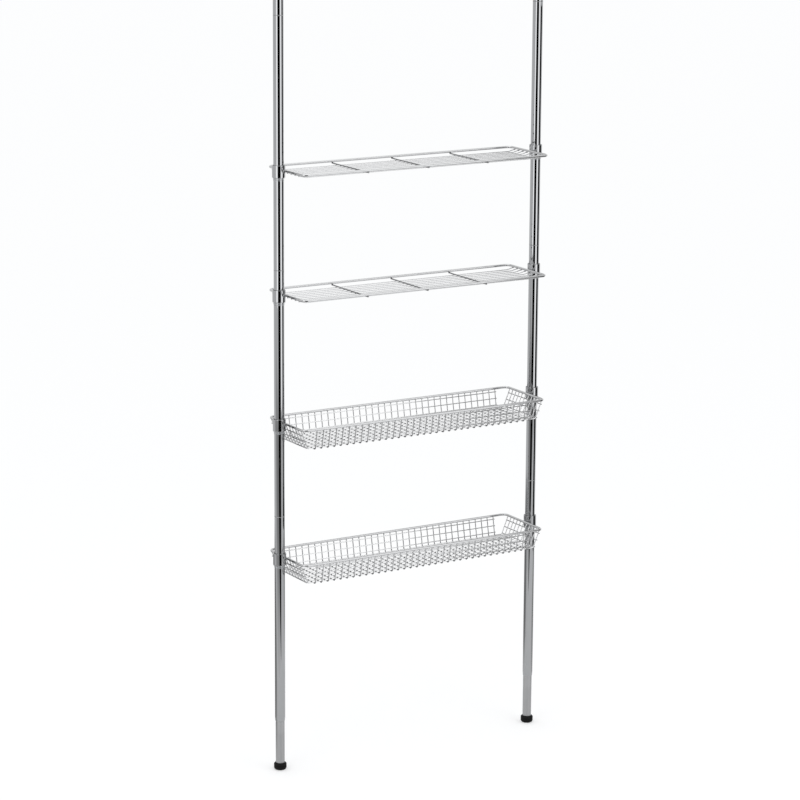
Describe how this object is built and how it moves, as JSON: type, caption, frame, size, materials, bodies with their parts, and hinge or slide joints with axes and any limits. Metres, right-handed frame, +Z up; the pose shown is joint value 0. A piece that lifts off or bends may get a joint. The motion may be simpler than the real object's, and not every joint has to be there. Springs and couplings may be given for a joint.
{
  "type": "tension pole shelf unit",
  "caption": "Floor-to-ceiling tension pole rack: chromed poles with sprung legs and rubber feet carry flat wire shelves and wire baskets on sliding wedge collars.",
  "frame": {"origin": "on the floor, midway between the two poles", "axes": "+Z up along the poles, +X from the left pole to the right one seen from the front, +Y to the back"},
  "size_m": [0.753, 0.178, 2.4454],
  "materials": {
    "pole_chrome": "bright chrome plate on steel tube",
    "collar_chrome": "bright chrome plate on a turned steel ring",
    "wire_chrome": "chrome plate on welded steel wire",
    "leg_steel": "satin plated steel tube",
    "spring_steel": "oiled spring wire",
    "clear_plastic": "translucent pale grey",
    "grey_plastic": "moulded, plain",
    "rubber": "black, matt"
  },
  "bodies": {
    "poles": {"left_ceiling_cap": "rubber", "left_head_tube": "pole_chrome", "left_upper_tube": "pole_chrome", "left_middle_tube": "pole_chrome", "left_lower_tube": "pole_chrome", "left_joint_inserts": "grey_plastic", "left_spring_stop": "grey_plastic", "right_ceiling_cap": "rubber", "right_head_tube": "pole_chrome", "right_upper_tube": "pole_chrome", "right_middle_tube": "pole_chrome", "right_lower_tube": "pole_chrome", "right_joint_inserts": "grey_plastic", "right_spring_stop": "grey_plastic"},
    "left_leg": {"left_foot": "rubber", "left_leg_tube": "leg_steel", "left_leg_guide": "grey_plastic", "left_leg_spring": "spring_steel"},
    "right_leg": {"right_foot": "rubber", "right_leg_tube": "leg_steel", "right_leg_guide": "grey_plastic", "right_leg_spring": "spring_steel"},
    "upper_shelf": {"upper_shelf_rim": "wire_chrome", "upper_shelf_cross_wires": "wire_chrome", "upper_shelf_long_wires": "wire_chrome", "upper_shelf_left_collar": "collar_chrome", "upper_shelf_left_sleeve": "clear_plastic", "upper_shelf_right_collar": "collar_chrome", "upper_shelf_right_sleeve": "clear_plastic"},
    "lower_shelf": {"lower_shelf_rim": "wire_chrome", "lower_shelf_cross_wires": "wire_chrome", "lower_shelf_long_wires": "wire_chrome", "lower_shelf_left_collar": "collar_chrome", "lower_shelf_left_sleeve": "clear_plastic", "lower_shelf_right_collar": "collar_chrome", "lower_shelf_right_sleeve": "clear_plastic"},
    "upper_basket": {"upper_basket_rim": "wire_chrome", "upper_basket_cross_wires": "wire_chrome", "upper_basket_long_wires": "wire_chrome", "upper_basket_side_rails": "wire_chrome", "upper_basket_end_rails": "wire_chrome", "upper_basket_left_collar": "collar_chrome", "upper_basket_left_sleeve": "clear_plastic", "upper_basket_right_collar": "collar_chrome", "upper_basket_right_sleeve": "clear_plastic"},
    "lower_basket": {"lower_basket_rim": "wire_chrome", "lower_basket_cross_wires": "wire_chrome", "lower_basket_long_wires": "wire_chrome", "lower_basket_side_rails": "wire_chrome", "lower_basket_end_rails": "wire_chrome", "lower_basket_left_collar": "collar_chrome", "lower_basket_left_sleeve": "clear_plastic", "lower_basket_right_collar": "collar_chrome", "lower_basket_right_sleeve": "clear_plastic"}
  },
  "joints": [
    {"name": "left_leg_slide", "type": "slide", "parent": "poles", "child": "left_leg", "axis": [0, 0, 1], "range_m": [0, 0.06], "stiffness_N_per_m": 3300, "springref_m": -0.05, "deforming": ["left_leg_spring"]},
    {"name": "right_leg_slide", "type": "slide", "parent": "poles", "child": "right_leg", "axis": [0, 0, 1], "range_m": [0, 0.06], "stiffness_N_per_m": 3300, "springref_m": -0.05, "deforming": ["right_leg_spring"]},
    {"name": "upper_shelf_slide", "type": "slide", "parent": "poles", "child": "upper_shelf", "axis": [0, 0, 1], "range_m": [-0.12, 0.6]},
    {"name": "lower_shelf_slide", "type": "slide", "parent": "poles", "child": "lower_shelf", "axis": [0, 0, 1], "range_m": [-0.12, 0.12]},
    {"name": "upper_basket_slide", "type": "slide", "parent": "poles", "child": "upper_basket", "axis": [0, 0, 1], "range_m": [-0.12, 0.12]},
    {"name": "lower_basket_slide", "type": "slide", "parent": "poles", "child": "lower_basket", "axis": [0, 0, 1], "range_m": [-0.3, 0.12]}
  ]
}
